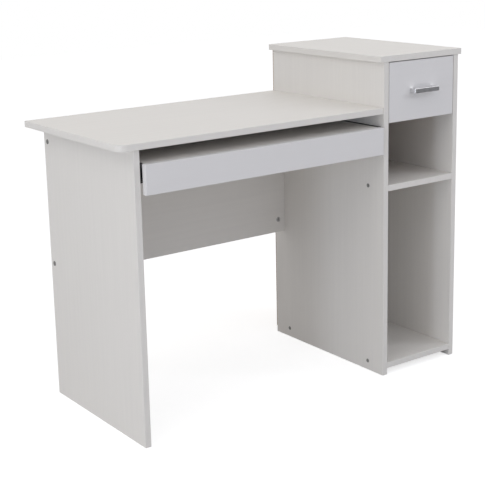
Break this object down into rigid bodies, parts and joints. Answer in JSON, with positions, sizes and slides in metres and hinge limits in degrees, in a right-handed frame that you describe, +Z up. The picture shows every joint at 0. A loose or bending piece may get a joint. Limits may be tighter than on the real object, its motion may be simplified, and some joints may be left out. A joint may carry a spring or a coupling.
{
  "type": "computer desk with keyboard tray",
  "caption": "Small computer desk of coated board with a pull-out keyboard tray and a taller tower with a drawer and open shelves.",
  "frame": {"origin": "on the floor, in the middle of the ground that the whole desk covers", "axes": "+Z up, +Y towards the wall behind the desk, +X to the user's right, towards the tower"},
  "size_m": [1.073, 0.5, 0.875],
  "materials": {
    "coated_board": "satin light grey-white melamine coating on particleboard",
    "hardboard": "smooth light lacquered hardboard",
    "black_steel": "black coated rolled steel",
    "white_steel": "white epoxy coated rolled steel",
    "zinc_steel": "zinc plated steel",
    "ball_steel": "polished steel",
    "cam_zinc": "plain die-cast zinc",
    "satin_nickel": "satin nickel",
    "nylon": "natural nylon",
    "grey_plastic": "moulded grey plastic",
    "beech": "fluted beech"
  },
  "bodies": {
    "frame": {"desk_top": "coated_board", "left_side_panel": "coated_board", "modesty_panel": "coated_board", "tower_left_panel": "coated_board", "tower_right_panel": "coated_board", "tower_top": "coated_board", "middle_shelf": "coated_board", "bottom_shelf": "coated_board", "tower_back": "hardboard", "tray_slide_left_outer": "black_steel", "tray_slide_right_outer": "black_steel", "runner_left_frame_rail": "white_steel", "runner_right_frame_rail": "white_steel", "frame_roller_axles": "zinc_steel", "furniture_screws": "zinc_steel", "screw_caps": "grey_plastic", "frame_cams": "cam_zinc", "frame_cam_dowels": "zinc_steel", "frame_wood_dowels": "beech", "frame_rail_screws": "zinc_steel", "tower_back_nails": "zinc_steel"},
    "keyboard_tray": {"tray_board": "coated_board", "tray_side_rails": "coated_board", "tray_front": "coated_board", "tray_slide_left_inner": "black_steel", "tray_slide_right_inner": "black_steel", "tray_cams": "cam_zinc", "tray_cam_dowels": "zinc_steel", "tray_wood_dowels": "beech", "tray_rail_screws": "zinc_steel"},
    "tray_slide_left_middle": {"tray_slide_left_middle": "black_steel"},
    "tray_slide_left_outer_cage": {"tray_slide_left_outer_cage": "zinc_steel", "tray_slide_left_outer_balls": "ball_steel"},
    "tray_slide_left_inner_cage": {"tray_slide_left_inner_cage": "zinc_steel", "tray_slide_left_inner_balls": "ball_steel"},
    "tray_slide_right_middle": {"tray_slide_right_middle": "black_steel"},
    "tray_slide_right_outer_cage": {"tray_slide_right_outer_cage": "zinc_steel", "tray_slide_right_outer_balls": "ball_steel"},
    "tray_slide_right_inner_cage": {"tray_slide_right_inner_cage": "zinc_steel", "tray_slide_right_inner_balls": "ball_steel"},
    "drawer": {"drawer_front": "coated_board", "drawer_left_side": "coated_board", "drawer_right_side": "coated_board", "drawer_back": "coated_board", "drawer_bottom": "hardboard", "drawer_handle": "satin_nickel", "handle_screws": "zinc_steel", "runner_left_drawer_rail": "white_steel", "runner_right_drawer_rail": "white_steel", "drawer_roller_axles": "zinc_steel", "drawer_cams": "cam_zinc", "drawer_cam_dowels": "zinc_steel", "drawer_wood_dowels": "beech", "drawer_rail_screws": "zinc_steel", "drawer_back_screws": "zinc_steel", "drawer_bottom_nails": "zinc_steel"},
    "left_frame_roller": {"runner_left_frame_roller": "nylon"},
    "left_drawer_roller": {"runner_left_drawer_roller": "nylon"},
    "right_frame_roller": {"runner_right_frame_roller": "nylon"},
    "right_drawer_roller": {"runner_right_drawer_roller": "nylon"}
  },
  "joints": [
    {"name": "keyboard_tray_slide", "type": "slide", "parent": "frame", "child": "keyboard_tray", "axis": [0, -1, 0], "range_m": [0, 0.3]},
    {"name": "drawer_slide", "type": "slide", "parent": "frame", "child": "drawer", "axis": [0, -1, 0], "range_m": [0, 0.26]},
    {"name": "tray_slide_left_middle_travel", "type": "slide", "parent": "frame", "child": "tray_slide_left_middle", "axis": [0, -1, 0], "range_m": [0, 0.15]},
    {"name": "tray_slide_left_outer_cage_travel", "type": "slide", "parent": "frame", "child": "tray_slide_left_outer_cage", "axis": [0, -1, 0], "range_m": [0, 0.075]},
    {"name": "tray_slide_left_inner_cage_travel", "type": "slide", "parent": "frame", "child": "tray_slide_left_inner_cage", "axis": [0, -1, 0], "range_m": [0, 0.225]},
    {"name": "tray_slide_right_middle_travel", "type": "slide", "parent": "frame", "child": "tray_slide_right_middle", "axis": [0, -1, 0], "range_m": [0, 0.15]},
    {"name": "tray_slide_right_outer_cage_travel", "type": "slide", "parent": "frame", "child": "tray_slide_right_outer_cage", "axis": [0, -1, 0], "range_m": [0, 0.075]},
    {"name": "tray_slide_right_inner_cage_travel", "type": "slide", "parent": "frame", "child": "tray_slide_right_inner_cage", "axis": [0, -1, 0], "range_m": [0, 0.225]},
    {"name": "left_frame_roller_spin", "type": "hinge", "parent": "frame", "child": "left_frame_roller", "pos_m": [0.2789, -0.198, 0.72145], "axis": [1, 0, 0], "range_deg": [0, 1760]},
    {"name": "left_drawer_roller_spin", "type": "hinge", "parent": "drawer", "child": "left_drawer_roller", "pos_m": [0.2789, 0.128, 0.71935], "axis": [1, 0, 0], "range_deg": [0, 1760]},
    {"name": "right_frame_roller_spin", "type": "hinge", "parent": "frame", "child": "right_frame_roller", "pos_m": [0.5051, -0.198, 0.72145], "axis": [1, 0, 0], "range_deg": [0, 1760]},
    {"name": "right_drawer_roller_spin", "type": "hinge", "parent": "drawer", "child": "right_drawer_roller", "pos_m": [0.5051, 0.128, 0.71935], "axis": [1, 0, 0], "range_deg": [0, 1760]}
  ],
  "couplings": [
    {"joint": "tray_slide_left_middle_travel", "follows": "keyboard_tray_slide", "ratio": 0.5},
    {"joint": "tray_slide_left_outer_cage_travel", "follows": "keyboard_tray_slide", "ratio": 0.25},
    {"joint": "tray_slide_left_inner_cage_travel", "follows": "keyboard_tray_slide", "ratio": 0.75},
    {"joint": "tray_slide_right_middle_travel", "follows": "keyboard_tray_slide", "ratio": 0.5},
    {"joint": "tray_slide_right_outer_cage_travel", "follows": "keyboard_tray_slide", "ratio": 0.25},
    {"joint": "tray_slide_right_inner_cage_travel", "follows": "keyboard_tray_slide", "ratio": 0.75},
    {"joint": "left_frame_roller_spin", "follows": "drawer_slide", "rad_per_m": 117.65},
    {"joint": "left_drawer_roller_spin", "follows": "drawer_slide", "rad_per_m": 117.65},
    {"joint": "right_frame_roller_spin", "follows": "drawer_slide", "rad_per_m": 117.65},
    {"joint": "right_drawer_roller_spin", "follows": "drawer_slide", "rad_per_m": 117.65}
  ]
}
